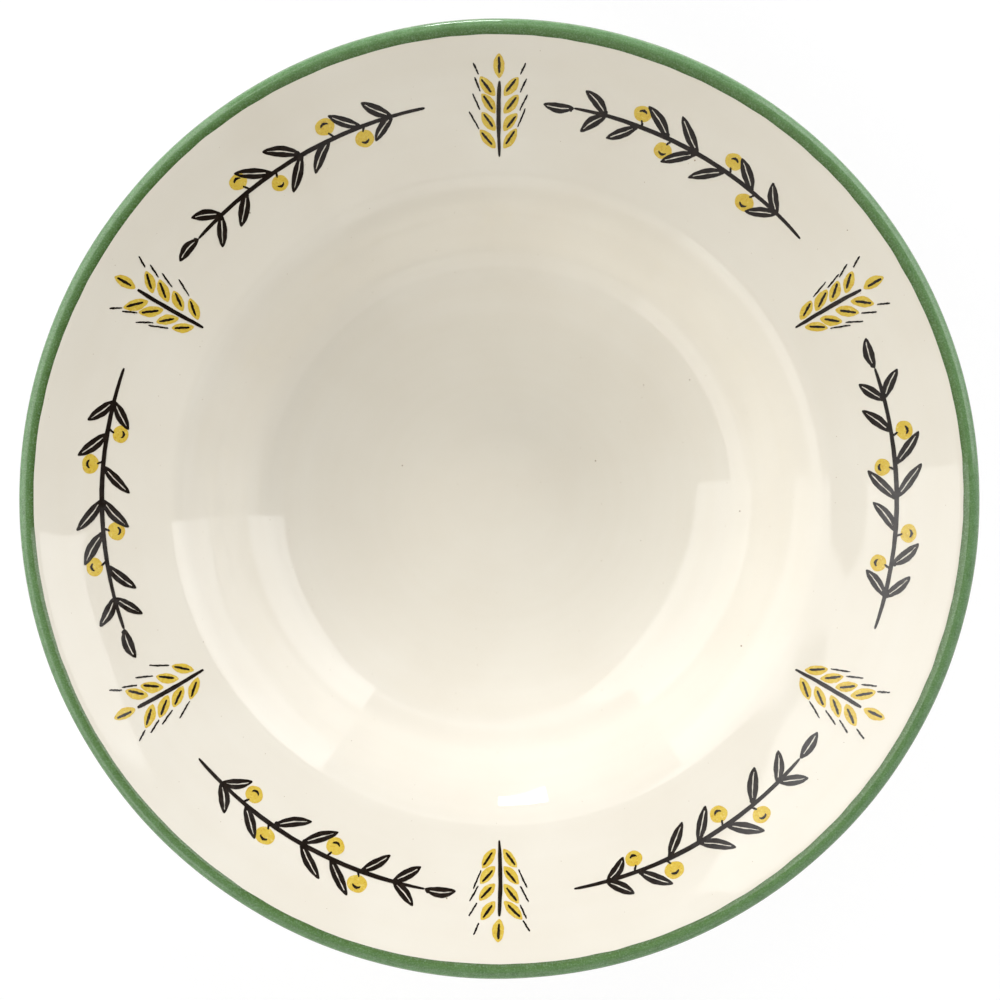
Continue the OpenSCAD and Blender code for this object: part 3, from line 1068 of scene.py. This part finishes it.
def make_near_walls():
    make_wall("near_left_top", TENT_R, NEAR_EDGE, UPPER_TILT, NEAR_LEFT_SPAN, light=0.4)
    make_wall("near_left_middle", TENT_R, UPPER_TILT, LOWER_TILT, NEAR_LEFT_SPAN, light=2.0)
    make_wall("near_left_lower", TENT_R, LOWER_TILT, FOOT_TILT, NEAR_LEFT_SPAN, light=1.0)
    make_wall("near_top", TENT_R, NEAR_EDGE, UPPER_TILT, NEAR_SPAN, light=0.35)
    make_wall("near_middle", TENT_R, UPPER_TILT, LOWER_TILT, NEAR_SPAN, light=1.0)
    make_wall("near_lower", TENT_R, LOWER_TILT, FOOT_TILT, NEAR_SPAN, light=0.5)
    make_wall("near_right", TENT_R, UPPER_TILT, FOOT_TILT, NEAR_RIGHT_SPAN, light=0.8)
    make_wall("near_right_upper", TENT_R, UPPER_TILT, MIDDLE_TILT, NEAR_CORNER_SPAN, light=0.2)
    make_wall("near_right_lower", TENT_R, MIDDLE_TILT, FOOT_TILT, NEAR_CORNER_SPAN, light=0.8)


def make_far_walls():
    make_wall("far_top", TENT_R, FAR_EDGE, UPPER_TILT, FAR_SPAN, light=1.0,
              top_span=FAR_TOP_SPAN)
    make_wall("far_lower", TENT_R, UPPER_TILT, FOOT_TILT, FAR_SPAN, light=0.1)


def make_fills():
    """The low fills on the far side are a little bluer than the rest."""
    for name, tilts, span, light, colour in (
            ("right_low_fill", LOW_FILL, (0, 45), 5.4, DAYLIGHT),
            ("far_low_fill", LOW_FILL, (45, 90), 11, DAYLIGHT),
            ("far_left_low_fill", LOW_FILL, (90, 135), 12.4, DAYLIGHT),
            ("far_high_fill", HIGH_FILL, (45, 90), 3.0, LAMPLIGHT),
            ("left_fill", MIDDLE_FILL, (135, 225), 3.7, LAMPLIGHT),
            ("near_fill", HIGH_FILL, (225, 315), 4.9, LAMPLIGHT)):
        make_wall(name, FILL_R, *tilts, span, light, fill=colour)


def make_window():
    data = bpy.data.lights.new("window", "AREA")
    data.shape = "RECTANGLE"
    data.size, data.size_y = WINDOW_W, WINDOW_H
    data.energy = WINDOW_LIGHT * math.pi * WINDOW_W * WINDOW_H
    window = bpy.data.objects.new("window", data)
    window.location = tent_point(WINDOW_R, WINDOW_TILT, WINDOW_AZIMUTH)
    window.rotation_euler = (math.radians(WINDOW_TILT), 0, math.radians(WINDOW_AZIMUTH + 90))
    window.visible_camera = False
    window.visible_diffuse = False
    bpy.context.scene.collection.objects.link(window)


def make_room():
    """The room is black to everything but the camera, which sees white."""
    world = bpy.data.worlds.new("room")
    world.use_nodes = True
    nodes, links = world.node_tree.nodes, world.node_tree.links
    path = nodes.new("ShaderNodeLightPath")
    links.new(path.outputs["Is Camera Ray"], nodes["Background"].inputs["Strength"])
    nodes["Background"].inputs["Color"].default_value = (*WHITE, 1)
    bpy.context.scene.world = world


def make_lights():
    make_left_walls()
    make_right_walls()
    make_near_walls()
    make_far_walls()
    make_fills()
    make_window()
    make_room()


def make_floor():
    """White floor whose camera view keeps a soft shadow of the bowl."""
    half = FLOOR_SIDE / 2
    mesh = bpy.data.meshes.new("floor")
    corners = ((-half, -half), (half, -half), (half, half), (-half, half))
    mesh.from_pydata([(x, y, -FLOOR_DROP) for x, y in corners], [], [(0, 1, 2, 3)])
    floor = bpy.data.objects.new("floor", mesh)
    bpy.context.scene.collection.objects.link(floor)
    material = bpy.data.materials.new("floor")
    material.use_nodes = True
    nodes, links = material.node_tree.nodes, material.node_tree.links
    nodes.remove(nodes["Principled BSDF"])
    diffuse = nodes.new("ShaderNodeBsdfDiffuse")
    diffuse.inputs["Color"].default_value = (FLOOR_BOUNCE, FLOOR_BOUNCE, FLOOR_BOUNCE, 1)
    thin = nodes.new("ShaderNodeBsdfDiffuse")
    thin.inputs["Color"].default_value = (FLOOR_COLOUR, FLOOR_COLOUR, FLOOR_COLOUR, 1)
    glow = nodes.new("ShaderNodeEmission")
    glow.inputs["Strength"].default_value = FLOOR_GLOW
    both = nodes.new("ShaderNodeAddShader")
    path = nodes.new("ShaderNodeLightPath")
    mix = nodes.new("ShaderNodeMixShader")
    links.new(thin.outputs[0], both.inputs[0])
    links.new(glow.outputs[0], both.inputs[1])
    links.new(path.outputs["Is Camera Ray"], mix.inputs[0])
    links.new(diffuse.outputs[0], mix.inputs[1])
    links.new(both.outputs[0], mix.inputs[2])
    links.new(mix.outputs[0], nodes["Material Output"].inputs["Surface"])
    mesh.materials.append(material)


bpy.context.scene.view_settings.view_transform = "Standard"
make_camera()
make_coats()
make_print()
make_lights()
make_floor()
